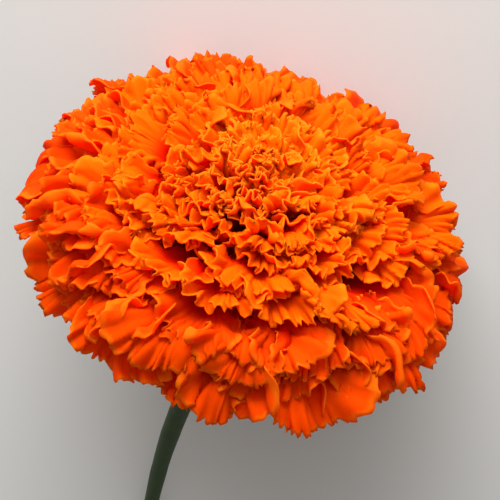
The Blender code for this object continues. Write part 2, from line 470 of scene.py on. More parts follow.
class Value:
    """A number's socket in a node tree."""

    def __init__(self, tree, socket):
        self.tree = tree
        self.socket = socket

    def maths(self, operation, *operands):
        node = self.tree.nodes.new("ShaderNodeMath")
        node.operation = operation
        for place, operand in enumerate(operands):
            feed(self.tree, node.inputs[place], operand)
        return Value(self.tree, node.outputs[0])

    def __add__(self, other):
        return self.maths("ADD", self, other)

    def __radd__(self, other):
        return self.maths("ADD", other, self)

    def __sub__(self, other):
        return self.maths("SUBTRACT", self, other)

    def __rsub__(self, other):
        return self.maths("SUBTRACT", other, self)

    def __mul__(self, other):
        return self.maths("MULTIPLY", self, other)

    def __rmul__(self, other):
        return self.maths("MULTIPLY", other, self)

    def __truediv__(self, other):
        return self.maths("DIVIDE", self, other)

    def __pow__(self, other):
        return self.maths("POWER", self, other)

    def sine(self):
        return self.maths("SINE", self)

    def size(self):
        return self.maths("ABSOLUTE", self)

    def between(self, low, high):
        """0 below low, 1 above high, and a smooth rise between them."""
        node = self.tree.nodes.new("ShaderNodeMapRange")
        node.interpolation_type = "SMOOTHSTEP"
        feed(self.tree, node.inputs["Value"], self)
        feed(self.tree, node.inputs["From Min"], low)
        feed(self.tree, node.inputs["From Max"], high)
        return Value(self.tree, node.outputs["Result"])


def feed(tree, socket, value):
    """Links a value or a socket, or sets a plain number or colour."""
    if isinstance(value, Value):
        tree.links.new(value.socket, socket)
    elif isinstance(value, bpy.types.NodeSocket):
        tree.links.new(value, socket)
    else:
        socket.default_value = value


class Tree:
    """Adds nodes to a tree, each with its settings first and then its sockets."""

    def __init__(self, tree):
        self.tree = tree
        self.tree.nodes.clear()

    def add(self, kind, settings=None, sockets=None):
        node = self.tree.nodes.new(kind)
        for name, setting in (settings or {}).items():
            setattr(node, name, setting)
        for name, value in (sockets or {}).items():
            feed(self.tree, node.inputs[name], value)
        return node

    def value(self, node, output=0):
        return Value(self.tree, node.outputs[output])

    def noise(self, vector, scale, detail=2.0, roughness=0.5, **sockets):
        wanted = {"Vector": vector, "Scale": scale, "Detail": detail, "Roughness": roughness, **sockets}
        settings = {"noise_dimensions": "4D"} if "W" in sockets else {}
        return self.value(self.add("ShaderNodeTexNoise", settings, wanted))

    def mix(self, share, first, second):
        """A colour between two colours."""
        node = self.add("ShaderNodeMix", {"data_type": "RGBA"}, {0: share, 6: first, 7: second})
        return node.outputs[2]

    def scaled(self, vector, factors):
        node = self.add("ShaderNodeVectorMath", {"operation": "MULTIPLY"}, {0: vector, 1: factors})
        return node.outputs[0]

    def joined(self, x, y, z):
        return self.add("ShaderNodeCombineXYZ", {}, {0: x, 1: y, 2: z}).outputs[0]


def new_material(name):
    material = bpy.data.materials.new(name)
    material.use_nodes = True
    return material, Tree(material.node_tree)


def surface(tree, shader, height=None, distance=0.0002, strength=1.0):
    """Joins a shader to the output, with a bump if a height is given."""
    if height is not None:
        bump = tree.add("ShaderNodeBump", {}, {"Strength": strength, "Distance": distance, "Height": height})
        feed(tree.tree, shader.inputs["Normal"], bump.outputs[0])
    return shader


def rgba(colour):
    return (*colour, 1.0)


def petal_material(name, settings, deep, bright, rim_highlight_colour):
    """A petal: red-orange at its base, partly its own tint and partly painted shade, orange over the blade, with a
    painted highlight at the rim and painted deep-red shade where it lies deep in the bloom; veined and translucent.
    """
    material, tree = new_material(name)
    place = tree.add("ShaderNodeSeparateXYZ", {}, {0: tree.add("ShaderNodeUVMap", {"uv_map": "petal"}).outputs[0]})
    across = tree.value(place, 0)
    along = tree.value(place, 1)
    tint = tree.value(tree.add("ShaderNodeAttribute", {"attribute_name": "tint"}), "Fac")
    spread = tree.joined(across * 26.0, along * 1.1, tint * 40.0)
    veins = tree.noise(spread, 1.6, 3.0, 0.55)
    fine = tree.noise(tree.joined(across * 90.0, along * 2.4, tint * 40.0), 1.0, 2.0, 0.5)
    place_here = tree.add("ShaderNodeTexCoord").outputs["Object"]
    blotch = tree.noise(place_here, 140.0, 2.0, 0.5)
    # Painted shade for petals deep in the bloom, stored on each corner.
    depth_shade = tree.value(tree.add("ShaderNodeAttribute", {"attribute_name": "depth_shade"}), "Fac")
    streaks = (veins - 0.5) * 0.5 + (blotch - 0.5) * 0.3 + (tint - 0.5) * 0.35
    # Deeper red towards the base: partly the petal's own tint, partly painted shade. Deeper red again where the petal
    # lies deep in the bloom, which is painted shade.
    light = along.between(0.3, 1.0) - depth_shade * 0.8 + streaks
    body = tree.mix(light.between(0.0, 1.0), rgba(deep), rgba(bright))
    rim = tree.value(tree.add("ShaderNodeAttribute", {"attribute_name": "edge"}), "Fac")
    # Painted highlight: a paler band along the rim stands in for light shining through the thin margin.
    edge = (rim + (veins - 0.5) * 0.03).between(0.96, 0.995)
    colour = tree.mix(edge * 0.85, body, rgba(rim_highlight_colour))
    shader = tree.add(
        "ShaderNodeBsdfPrincipled",
        {},
        {
            "Base Color": colour,
            "Roughness": 0.5 + fine * 0.2,
            "Specular IOR Level": 0.09,
            "Specular Tint": (1.0, 0.4, 0.12, 1.0),
        },
    )
    surface(tree, shader, veins * 0.7 + fine * 0.5, 0.00018, 0.45)
    glow = tree.add("ShaderNodeBsdfTranslucent", {}, {"Color": rgba(settings.glow_colour)})
    both = tree.add("ShaderNodeMixShader", {}, {0: settings.translucency, 1: shader.outputs[0], 2: glow.outputs[0]})
    tree.add("ShaderNodeOutputMaterial", {}, {"Surface": both.outputs[0]})
    return material


# Pieces.


def grid_faces(rows, columns, first=0):
    """The corner numbers of a grid of faces, rows by columns of corners."""
    corner = first + np.arange(rows - 1)[:, None] * columns + np.arange(columns - 1)[None, :]
    return np.stack([corner, corner + 1, corner + columns + 1, corner + columns], -1).reshape(-1, 4)


def cage_object(name, cages, tints, sizes):
    """One mesh that holds the given cages, with the place of each corner on its petal."""
    cages = np.asarray(cages)
    count = len(cages)
    each = ROWS * COLUMNS
    faces = np.concatenate([grid_faces(ROWS, COLUMNS, index * each) for index in range(count)])
    mesh = bpy.data.meshes.new(name)
    mesh.from_pydata(cages.reshape(-1, 3).tolist(), [], faces.tolist())
    spread = np.linspace(-1.0, 1.0, COLUMNS)
    edge, around = rim_places(OPENED[:, None], spread[None, :])
    along = np.tile(np.repeat(OPENED, COLUMNS), count)
    across = np.tile(0.5 + 0.5 * spread, ROWS * count)
    lengthwise = unit_rows(np.gradient(cages, axis=1))
    crosswise = unit_rows(np.gradient(cages, axis=2))
    rimwards = lengthwise * np.cos(around)[..., None] + crosswise * np.sin(around)[..., None]
    # Painted shade: the deeper a corner lies under the bloom's surface, the more its colour turns deep red.
    depth_shade = np.clip((1.0 - dome_reach(to_bloom(cages))) / DEPTH_SHADE_BAND, 0.0, 1.0)
    values_of = {
        "depth_shade": depth_shade.ravel(),
        "edge": np.tile(edge.ravel(), count),
        "around": np.tile(around.ravel(), count),
        "tint": np.repeat(tints, each),
        "size": np.repeat(sizes, each),
    }
    for attribute, values in values_of.items():
        store(mesh, attribute, values)
    store(mesh, "rimward", rimwards, "FLOAT_VECTOR")
    corners = np.empty(len(mesh.loops), np.int32)
    mesh.loops.foreach_get("vertex_index", corners)
    places = np.stack([across[corners], along[corners]], -1)
    mesh.uv_layers.new(name="petal").data.foreach_set("uv", places.astype(np.float32).ravel())
    return linked(name, mesh)


def linked(name, data, material=None):
    """A new object of this data, in the scene."""
    if material:
        data.materials.append(material)
    obj = bpy.data.objects.new(name, data)
    bpy.context.scene.collection.objects.link(obj)
    return obj


def new_tree(name, inputs):
    """A geometry tree with the named inputs, besides the geometry itself."""
    group = bpy.data.node_groups.new(name, "GeometryNodeTree")
    group.interface.new_socket("Geometry", in_out="INPUT", socket_type="NodeSocketGeometry")
    for its_name, kind in inputs:
        group.interface.new_socket(its_name, in_out="INPUT", socket_type=kind)
    group.interface.new_socket("Geometry", in_out="OUTPUT", socket_type="NodeSocketGeometry")
    tree = Tree(group)
    return group, tree, tree.add("NodeGroupInput").outputs


def stored(tree, name):
    node = tree.add("GeometryNodeInputNamedAttribute", {"data_type": "FLOAT"}, {"Name": name})
    return tree.value(node)


def mark(tree, geometry, name, kind, value):
    """Stores a value on every point."""
    node = tree.add("GeometryNodeStoreNamedAttribute", {"data_type": kind}, {"Geometry": geometry, "Name": name})
    feed(tree.tree, node.inputs["Value"], value)
    return node.outputs[0]


def shift_corners(tree, geometry, push, cut):
    """Moves corners along their normals, and along the stored direction towards the rim."""
    normal = tree.add("GeometryNodeInputNormal").outputs[0]
    outward = tree.add("GeometryNodeInputNamedAttribute", {"data_type": "FLOAT_VECTOR"}, {"Name": "rimward"})
    first = tree.add("ShaderNodeVectorMath", {"operation": "SCALE"}, {0: normal, "Scale": push})
    second = tree.add("ShaderNodeVectorMath", {"operation": "SCALE"}, {0: outward.outputs[0], "Scale": cut})
    shift = tree.add("ShaderNodeVectorMath", {"operation": "ADD"}, {0: first.outputs[0], 1: second.outputs[0]})
    moved = tree.add("GeometryNodeSetPosition", {}, {"Geometry": geometry, "Offset": shift.outputs[0]})
    return moved.outputs[0]


def end_tree(tree, geometry, material):
    """Ends a tree with smooth shading, real geometry and its material."""
    smoothed = tree.add("GeometryNodeSetShadeSmooth", {}, {"Geometry": geometry})
    real = tree.add("GeometryNodeRealizeInstances", {}, {"Geometry": smoothed.outputs[0]})
    dressed = tree.add("GeometryNodeSetMaterial", {}, {"Geometry": real.outputs[0], "Material": material})
    tree.add("NodeGroupOutput", {}, {"Geometry": dressed.outputs[0]})


def frill_tree():
    """The geometry tree that turns a cage into a petal's sheet, frilled and toothed at its rim."""
    group, tree, given = new_tree(
        "Petal frill",
        (
            ("Subdivisions", "NodeSocketInt"),
            ("Frill Depth", "NodeSocketFloat"),
            ("Frill Count", "NodeSocketFloat"),
            ("Tooth Depth", "NodeSocketFloat"),
            ("Tooth Count", "NodeSocketFloat"),
            ("Material", "NodeSocketMaterial"),
        ),
    )
    edge = stored(tree, "edge")
    around = stored(tree, "around")
    tint = stored(tree, "tint")
    size = stored(tree, "size")
    fine = tree.add(
        "GeometryNodeSubdivisionSurface", {}, {"Mesh": given["Geometry"], "Level": given["Subdivisions"]}
    )
    frill_count = Value(group, given["Frill Count"])
    frill_depth = Value(group, given["Frill Depth"])
    drift = tree.noise(tree.joined(around * 2.6, edge * 1.5, tint * 91.0), 1.0, 1.0)
    swell = tree.noise(tree.joined(around * 4.0, 0.0, tint * 33.0), 1.0, 1.0)
    phase = around * frill_count * size + drift * 14.0
    depth = swell.between(0.25, 0.65) * frill_depth * size
    frill = phase.sine() * depth * edge.between(0.62, 1.02)
    scallops = (phase.maths("COSINE") - 1.0) * depth * edge.between(0.80, 1.0) * 0.55
    tooth_count = Value(group, given["Tooth Count"])
    teeth = tree.noise(tree.joined(around * tooth_count * size, tint * 57.0, 0.0), 1.0, 1.0)
    bite = (teeth.between(0.36, 0.58) - 1.0) * edge.between(0.86, 1.0) * Value(group, given["Tooth Depth"]) * size
    end_tree(tree, shift_corners(tree, fine.outputs[0], frill, bite + scallops), given["Material"])
    return group


def add_tree(obj, group, inputs):
    """Adds a geometry tree to an object and sets its named inputs."""
    modifier = obj.modifiers.new(group.name, "NODES")
    modifier.node_group = group
    for item in group.interface.items_tree:
        if item.item_type == "SOCKET" and item.in_out == "INPUT" and item.name in inputs:
            modifier[item.identifier] = inputs[item.name]
    return modifier


def thicken(obj, thickness):
    solidify = obj.modifiers.new("Thickness", "SOLIDIFY")
    solidify.thickness = thickness
    solidify.offset = 0.0
    return solidify


def plain_piece(obj, slot, *nodes):
    """Makes the object's modifiers final, and hands it to the frame's root body."""
    bpy.context.view_layer.update()
    graph = bpy.context.evaluated_depsgraph_get()
    mesh = bpy.data.meshes.new_from_object(obj.evaluated_get(graph), preserve_all_data_layers=True, depsgraph=graph)
    obj.modifiers.clear()
    obj.data = mesh
    mesh.name = obj.name
    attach(obj, "root")
    if nodes:
        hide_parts(*nodes)
    return obj


def store(mesh, name, values, kind="FLOAT"):
    """Stores one value for each corner of a mesh."""
    key = "vector" if kind == "FLOAT_VECTOR" else "value"
    mesh.attributes.new(name, kind, "POINT").data.foreach_set(key, np.asarray(values, np.float32).ravel())


_made = {}


def settled_bloom():
    """The settled cages, worked out once for all the operators that take petals from them."""
    if not _made:
        cages, tints = bloom_cages()
        _made["cages"] = cages
        _made["tints"] = np.array(tints)
        _made["frill"] = frill_tree()
    return _made


def petal_slot(ring):
    if ring < 4:
        return "petal_outer"
    if ring < RINGS - 2:
        return "petal_inner"
    return "petal_eye"


def make_petal_piece(name, chosen, settings, material, slot, *nodes):
    """One piece from the chosen florets' cages."""
    bloom = settled_bloom()
    sizes = [FLORETS[index]["size"] for index in chosen]
    obj = cage_object(name, bloom["cages"][chosen], bloom["tints"][chosen], sizes)
    inputs = {
        "Subdivisions": 1 if sizes[0] > 0.6 else 0,
        "Frill Depth": settings.frill_depth,
        "Frill Count": settings.frill_count,
        "Tooth Depth": settings.tooth_depth,
        "Tooth Count": settings.tooth_count,
        "Material": material,
    }
    add_tree(obj, bloom["frill"], inputs)
    thicken(obj, settings.thickness)
    return plain_piece(obj, slot, *nodes)


class PetalSettings(bpy.types.PropertyGroup):
    """Sizes and colours of the petals."""

    thickness: bpy.props.FloatProperty(
        name="Thickness", description="Thickness of a petal", default=0.00026, unit="LENGTH"
    )
    frill_depth: bpy.props.FloatProperty(
        name="Frill Depth", description="How far the fine frill stands off the blade", default=0.0012, unit="LENGTH"
    )
    frill_count: bpy.props.FloatProperty(
        name="Frill Count", description="How closely the fine waves follow each other", default=31.0
    )
    tooth_depth: bpy.props.FloatProperty(
        name="Tooth Depth", description="Depth of the notches in the rim", default=0.0014, unit="LENGTH"
    )
    tooth_count: bpy.props.FloatProperty(name="Tooth Count", description="How closely the notches follow", default=15.0)
    translucency: bpy.props.FloatProperty(
        name="Translucency", description="Share of the light that passes through a petal", default=0.48, subtype="FACTOR"
    )
    glow_colour: bpy.props.FloatVectorProperty(
        name="Glow Colour",
        description="Colour of the light that has passed through a petal",
        default=(1.0, 0.06, 0.0008),
        subtype="COLOR",
    )
    # The deep colour is the petal base's own tint, partly painted shade, and also the painted shade of petals deep in
    # the bloom.
    deep_colour: bpy.props.FloatVectorProperty(
        name="Deep Colour", description="Colour at the base of a petal", default=(0.93, 0.018, 0.0006), subtype="COLOR"
    )
    bright_colour: bpy.props.FloatVectorProperty(
        name="Bright Colour", description="Colour of the open blade", default=(0.99, 0.165, 0.0006), subtype="COLOR"
    )
    # The rim colour is a painted highlight, for light shining through the thin margin.
    rim_highlight_colour: bpy.props.FloatVectorProperty(
        name="Rim Highlight Colour", description="Colour of the frilled rim", default=(1.0, 0.25, 0.005), subtype="COLOR"
    )


def petal_materials(settings):
    if "materials" not in _made:
        deep, bright, rim = settings.deep_colour, settings.bright_colour, settings.rim_highlight_colour
        # Outer rings are darker and redder: partly painted shade of the skirt that hangs under the bloom, partly the
        # outer petals' own redder tint.
        outer_deep = (deep[0] * 0.62, deep[1] * 0.45, deep[2])
        outer_bright = (bright[0] * 0.97, bright[1] * 0.54, bright[2])
        outer_rim_highlight = (rim[0], rim[1] * 0.85, rim[2])
        eye_deep = (deep[0], deep[1] * 3.0, deep[2])
        eye_bright = (bright[0], bright[1] * 1.35, bright[2] * 2.0)
        eye_rim_highlight = (rim[0], rim[1] * 1.2, rim[2] * 2.0)
        _made["materials"] = {
            "petal_outer": petal_material("Outer petals", settings, outer_deep, outer_bright, outer_rim_highlight),
            "petal_inner": petal_material("Inner petals", settings, deep, bright, rim),
            "petal_eye": petal_material("Eye petals", settings, eye_deep, eye_bright, eye_rim_highlight),
        }
    return _made["materials"]


class MARIGOLD_OT_petals(bpy.types.Operator):
    """Builds each petal that stands where a petal of the frame does"""

    bl_idname = "marigold.petals"
    bl_label = "Petals"

    def execute(self, context):
        settled_bloom()
        settings = context.scene.marigold_petals
        materials = petal_materials(settings)
        for index, floret in enumerate(FLORETS[: len(PETALS)]):
            slot = petal_slot(floret["ring"])
            name = "visual_" + floret["piece"]
            make_petal_piece(name, [index], settings, materials[slot], slot, floret["piece"])
        return {"FINISHED"}


class MARIGOLD_OT_between(bpy.types.Operator):
    """Builds the petals that stand between those of each ring, and the small ones of the eye"""

    bl_idname = "marigold.between"
    bl_label = "Petals Between"

    def execute(self, context):
        settled_bloom()
        settings = context.scene.marigold_petals
        materials = petal_materials(settings)
        for piece in dict.fromkeys(floret["piece"] for floret in FLORETS[len(PETALS) :]):
            chosen = [index for index, floret in enumerate(FLORETS) if floret["piece"] == piece]
            slot = petal_slot(FLORETS[chosen[0]]["ring"])
            make_petal_piece(piece, chosen, settings, materials[slot], slot)
        return {"FINISHED"}


# The green cup and the stem.


def attribute(tree, name, output="Fac"):
    return tree.add("ShaderNodeAttribute", {"attribute_name": name}).outputs[output]


def green_shader(tree, colour, height, depth, roughness):
    """A waxy skin of one colour, with a bump."""
    sockets = {
        "Base Color": colour,
        "Roughness": roughness,
        "Specular IOR Level": 0.35,
        "Subsurface Weight": 0.12,
        "Subsurface Radius": (0.4, 1.0, 0.2),
        "Subsurface Scale": 0.0008,
    }
    shader = surface(tree, tree.add("ShaderNodeBsdfPrincipled", {}, sockets), height, depth, 0.6)
    tree.add("ShaderNodeOutputMaterial", {}, {"Surface": shader.outputs[0]})


def cup_material(settings):
    """Pale green between the ribs, with long dark oil glands, and a brown edge on the teeth."""
    material, tree = new_material("Involucre")
    around = tree.value(tree.add("ShaderNodeAttribute", {"attribute_name": "around"}), "Fac")
    along = tree.value(tree.add("ShaderNodeAttribute", {"attribute_name": "along"}), "Fac")
    here = tree.add("ShaderNodeTexCoord").outputs["Object"]
    mottle = tree.noise(here, 420.0, 3.0, 0.6)
    fibres = tree.noise(tree.joined(around * 14.0, along * 3.0, 0.0), 1.0, 3.0, 0.6)
    cells = tree.add(
        "ShaderNodeTexVoronoi",
        {"voronoi_dimensions": "2D"},
        {"Vector": tree.joined(around * 4.0, along * 9.0, 0.0), "Scale": 1.0, "Randomness": 0.85},
    )
    glands = 1.0 - tree.value(cells, "Distance").between(0.10, 0.24)
    glands = glands * along.between(0.12, 0.3)
    seams = (around * math.tau).maths("COSINE").between(0.75, 1.0)
    light = (fibres - 0.5) * 0.7 + (mottle - 0.5) * 0.4 + along * 0.55 + 0.15
    body = tree.mix(light.between(0.0, 1.0), rgba(settings.cup_deep), rgba(settings.cup_bright))
    seamed = tree.mix(seams * 0.55, body, rgba(settings.cup_deep))
    dotted = tree.mix(glands * 0.75, seamed, rgba(settings.gland_colour))
    tips = (along + (fibres - 0.5) * 0.06).between(0.93, 1.0)
    colour = tree.mix(tips * 0.7, dotted, rgba(settings.tooth_colour))
    green_shader(tree, colour, fibres * 0.6 + glands * 0.5 - seams * 0.4, 0.00018, 0.42 + mottle * 0.2)
    return material


def stem_material(settings):
    """Dark green with fine paler lines along it, and a reddish flush on the ridges in places."""
    material, tree = new_material("Stem")
    ring = attribute(tree, "ring", "Vector")
    along = tree.value(tree.add("ShaderNodeAttribute", {"attribute_name": "along"}), "Fac")
    place = tree.add("ShaderNodeSeparateXYZ", {}, {0: ring})
    lengthwise = tree.joined(tree.value(place, 0) * 7.0, tree.value(place, 1) * 7.0, along * 60.0)
    lines = tree.noise(lengthwise, 1.6, 3.0, 0.6)
    here = tree.add("ShaderNodeTexCoord").outputs["Object"]
    mottle = tree.noise(here, 260.0, 3.0, 0.55)
    fleck = tree.noise(here, 1500.0, 1.0, 0.5)
    ridge = tree.value(tree.add("ShaderNodeAttribute", {"attribute_name": "ridge"}), "Fac")
    light = (lines - 0.5) * 0.9 + (mottle - 0.5) * 0.6 + ridge * 0.3 + 0.4
    body = tree.mix(light.between(0.0, 1.0), rgba(settings.stem_deep), rgba(settings.stem_bright))
    flush = mottle.between(0.52, 0.75) * ridge * 0.5
    colour = tree.mix(flush, body, rgba(settings.flush_colour))
    green_shader(tree, colour, lines * 0.6 + fleck * 0.25, 0.00012, 0.45 + mottle * 0.2)
    return material


def pith_material(settings):
    """A pale spongy middle with a ring of darker strands and a green skin round it."""
    material, tree = new_material("Stem pith")
    place = tree.add("ShaderNodeUVMap", {"uv_map": "disc"}).outputs[0]
    distance = tree.value(tree.add("ShaderNodeVectorMath", {"operation": "LENGTH"}, {0: place}), "Value")
    sponge = tree.add("ShaderNodeTexVoronoi", {}, {"Vector": place, "Scale": 13.0})
    cells = tree.value(sponge, "Distance")
    pith = tree.mix(cells.between(0.1, 0.7), rgba(settings.pith_colour), (0.30, 0.36, 0.16, 1.0))
    strands = distance.between(0.62, 0.72) * (1.0 - distance.between(0.80, 0.88))
    ringed = tree.mix(strands * 0.7, pith, rgba(settings.stem_bright))
    colour = tree.mix(distance.between(0.86, 0.94), ringed, rgba(settings.stem_deep))
    green_shader(tree, colour, cells, 0.0001, 0.6 + cells * 0.15)
    return material


def cup_tree():
    """The geometry tree that ribs a turned wall and cuts its mouth into pointed teeth."""
    group, tree, given = new_tree(
        "Cup ribs and teeth",
        (
            ("Rib Depth", "NodeSocketFloat"),
            ("Tooth Depth", "NodeSocketFloat"),
            ("Material", "NodeSocketMaterial"),
        ),
    )
    around = stored(tree, "around")
    along = stored(tree, "along")
    seam = (around * math.tau).maths("COSINE")
    swell = tree.noise(tree.joined(around * 1.7, along * 5.0, 0.0), 1.0, 1.0)
    ribs = (around * math.tau * 3.0).maths("COSINE") * 0.18 - seam.between(0.45, 1.0) + (swell - 0.5) * 0.5
    push = ribs * Value(group, given["Rib Depth"]) * along.between(0.03, 0.2)
    notch = (seam * 0.5 + 0.5) ** 0.8
    drop = notch * along.between(0.78, 1.0) * Value(group, given["Tooth Depth"]) * -1.0
    moved = shift_corners(tree, given["Geometry"], push, drop)
    end_tree(tree, moved, given["Material"])
    return group


def stem_tree():
    """The geometry tree that runs a ridged tube along the stem's line."""
    group, tree, given = new_tree(
        "Stem ridges",
        (
            ("Sides", "NodeSocketInt"),
            ("Step", "NodeSocketFloat"),
            ("Ridges", "NodeSocketFloat"),
            ("Ridge Depth", "NodeSocketFloat"),
            ("Swelling", "NodeSocketFloat"),
            ("Material", "NodeSocketMaterial"),
        ),
    )
    chain = tree.add("GeometryNodeMeshToCurve", {}, {"Mesh": given["Geometry"]})
    flowing = tree.add("GeometryNodeCurveSplineType", {"spline_type": "CATMULL_ROM"}, {"Curve": chain.outputs[0]})
    line = tree.add(
        "GeometryNodeResampleCurve", {"mode": "LENGTH"}, {"Curve": flowing.outputs[0], "Length": given["Step"]}
    )
    length = tree.add("GeometryNodeSplineParameter").outputs["Length"]
    marked = mark(tree, line.outputs[0], "along", "FLOAT", length)
    position = tree.add("GeometryNodeInputPosition").outputs[0]
    lumps = tree.noise(position, 160.0, 2.0) - 0.5
    radius = stored(tree, "width") * (lumps * Value(group, given["Swelling"]) + 1.0)
    circle = tree.add("GeometryNodeCurvePrimitiveCircle", {}, {"Resolution": given["Sides"], "Radius": 1.0})
    place = tree.add("ShaderNodeSeparateXYZ", {}, {0: position})
    angle = tree.value(place, 1).maths("ARCTAN2", tree.value(place, 1), tree.value(place, 0))
    ridge = (angle * Value(group, given["Ridges"])).maths("COSINE") * 0.5 + 0.5
    ringed = mark(tree, circle.outputs[0], "ring", "FLOAT_VECTOR", position)
    ridged = mark(tree, ringed, "ridge", "FLOAT", ridge)
    inward = tree.add(
        "ShaderNodeVectorMath",
        {"operation": "SCALE"},
        {0: position, "Scale": (ridge - 1.0) * Value(group, given["Ridge Depth"])},
    )
    profile = tree.add("GeometryNodeSetPosition", {}, {"Geometry": ridged, "Offset": inward.outputs[0]})
    tube = tree.add(
        "GeometryNodeCurveToMesh",
        {},
        {"Curve": marked, "Profile Curve": profile.outputs[0], "Scale": radius, "Fill Caps": True},
    )
    end_tree(tree, tube.outputs[0], given["Material"])
    return group


CUP_PROFILE = (
    (0.0033, -0.0352),
    (0.0052, -0.0338),
    (0.0071, -0.0312),
    (0.0083, -0.0270),
    (0.0089, -0.0220),
    (0.0091, -0.0172),
    (0.0095, -0.0138),
)
CUP_TEETH = 9
CUP_COLUMNS = 20
CUP_ROWS = 34
CUP_WALL = 0.0005


def cup_cage(material):
    """The turned wall of the cup, before its ribs and teeth, with each corner's place on it."""
    profile = np.array(CUP_PROFILE)
    knots = np.concatenate([[0.0], np.cumsum(np.linalg.norm(np.diff(profile, axis=0), axis=1))])
    knots /= knots[-1]
    along = np.linspace(0.0, 1.0, CUP_ROWS)
    spread = np.linspace(-0.06, 0.06, 9)
    wanted = np.clip(along[:, None] + spread * smooth(1.0 - abs(2.0 * along - 1.0), 0.0, 0.3)[:, None], 0.0, 1.0)
    radii = np.interp(wanted, knots, profile[:, 0]).mean(1)
    heights = np.interp(wanted, knots, profile[:, 1]).mean(1)
    columns = CUP_TEETH * CUP_COLUMNS
    turn = math.tau * np.arange(columns) / columns
    ones = np.ones(columns)
    points = np.stack(
        [np.outer(radii, np.cos(turn)), np.outer(radii, np.sin(turn)), np.outer(heights, ones)], axis=-1
    )
    corner = np.arange(CUP_ROWS - 1)[:, None] * columns + np.arange(columns)[None, :]
    beside = np.arange(CUP_ROWS - 1)[:, None] * columns + (np.arange(columns)[None, :] + 1) % columns
    faces = np.stack([corner, beside, beside + columns, corner + columns], -1).reshape(-1, 4)
    mesh = bpy.data.meshes.new("visual_involucre")
    mesh.from_pydata(to_world(points.reshape(-1, 3)).tolist(), [], faces.tolist())
    store(mesh, "around", np.tile(turn / math.tau * CUP_TEETH, CUP_ROWS))
    store(mesh, "along", np.repeat(along, columns))
    upward = unit_rows(np.gradient(points, axis=0)) @ AXES
    store(mesh, "rimward", upward, "FLOAT_VECTOR")
    return linked("visual_involucre", mesh, material)


STEM_SWELL = 0.25  # how much wider the stem is under the head than in the frame; its cut end keeps its width
STEM_TRIM = 0.95  # leaves room for the stem's lumps above the floor
RECEPTACLE_RADIUS = 0.0025  # the stem's stations from this radius on belong to the receptacle


def stem_line(material):
    """The line along the middle of the frame's stem, with its radius at each point."""
    stations = stem_stations()
    points = [to_world(middle).tolist() for middle, _ in stations]
    mesh = bpy.data.meshes.new("visual_stem")
    mesh.from_pydata(points, [(index, index + 1) for index in range(len(points) - 1)], [])
    widths = []
    for middle, radius in stations:
        swell = STEM_SWELL * (1.0 + middle[2] / STEM_REACH) if radius < RECEPTACLE_RADIUS else 0.0
        widths.append(radius * (STEM_TRIM + swell))
    store(mesh, "width", widths)
    return linked("visual_stem", mesh, material)


PITH_THICKNESS = 0.00012
PITH_SHARE = 0.88  # of the frame's stem radius
PITH_SIDES = 48
PITH_RINGS = 6


def pith_disc(material):
    """A thin disc over the stem's cut end, slightly domed, as turgid tissue is when it's cut."""
    stations = stem_stations()
    (middle, radius), (above, _) = stations[0], stations[1]
    axis = unit((middle - above) @ AXES)
    across = unit(np.cross(axis, UP))
    over = np.cross(axis, across)
    mesh = bpy.data.meshes.new("stem_cut_face")
    work = bmesh.new()
    bmesh.ops.create_circle(work, cap_ends=True, cap_tris=True, segments=PITH_SIDES, radius=1.0)
    bmesh.ops.subdivide_edges(work, edges=work.edges[:], cuts=PITH_RINGS // 2, use_grid_fill=True)
    layer = work.loops.layers.uv.new("disc")
    for face in work.faces:
        for loop in face.loops:
            loop[layer].uv = loop.vert.co.xy
    centre = to_world(middle)
    for vertex in work.verts:
        x, y, _ = vertex.co
        dome = (1.0 - min(x * x + y * y, 1.0)) * PITH_THICKNESS
        vertex.co = centre + (across * x + over * y) * radius * PITH_SHARE + axis * (dome + PITH_THICKNESS * 0.4)
    bmesh.ops.recalc_face_normals(work, faces=work.faces)
    work.to_mesh(mesh)
    work.free()
    return linked("stem_cut_face", mesh, material)


class GreenSettings(bpy.types.PropertyGroup):
    """Sizes and colours of the green cup and the stem."""

    rib_depth: bpy.props.FloatProperty(
        name="Rib Depth", description="Depth of the seams between the cup's bracts", default=0.00028, unit="LENGTH"
    )
    cup_tooth_depth: bpy.props.FloatProperty(
        name="Cup Tooth Depth", description="Depth of the notches in the cup's mouth", default=0.0030, unit="LENGTH"
    )
    sides: bpy.props.IntProperty(name="Sides", description="Faces round the stem", default=72)
    ridges: bpy.props.IntProperty(name="Ridges", description="Ridges round the stem", default=9)
    ridge_depth: bpy.props.FloatProperty(
        name="Ridge Depth", description="Depth of the furrows, as a share of the stem's radius", default=0.09
    )
    swelling: bpy.props.FloatProperty(
        name="Swelling", description="How unevenly thick the stem is, as a share of its radius", default=0.10
    )
    cup_deep: bpy.props.FloatVectorProperty(
        name="Cup Deep", description="Darker green of the cup", default=(0.040, 0.105, 0.018), subtype="COLOR"
    )
    cup_bright: bpy.props.FloatVectorProperty(
        name="Cup Bright", description="Paler green of the cup", default=(0.150, 0.270, 0.060), subtype="COLOR"
    )
    gland_colour: bpy.props.FloatVectorProperty(
        name="Gland Colour", description="Colour of the oil glands", default=(0.030, 0.050, 0.010), subtype="COLOR"
    )
    tooth_colour: bpy.props.FloatVectorProperty(
        name="Tooth Colour", description="Colour of the teeth's edge", default=(0.180, 0.120, 0.040), subtype="COLOR"
    )
    stem_deep: bpy.props.FloatVectorProperty(
        name="Stem Deep", description="Darker green of the stem", default=(0.006, 0.018, 0.003), subtype="COLOR"
    )
    stem_bright: bpy.props.FloatVectorProperty(
        name="Stem Bright", description="Paler green of the stem", default=(0.022, 0.052, 0.009), subtype="COLOR"
    )
    flush_colour: bpy.props.FloatVectorProperty(
        name="Flush Colour", description="Reddish flush on the ridges", default=(0.120, 0.050, 0.025), subtype="COLOR"
    )
    pith_colour: bpy.props.FloatVectorProperty(
        name="Pith Colour", description="Colour of the pith", default=(0.560, 0.600, 0.360), subtype="COLOR"
    )


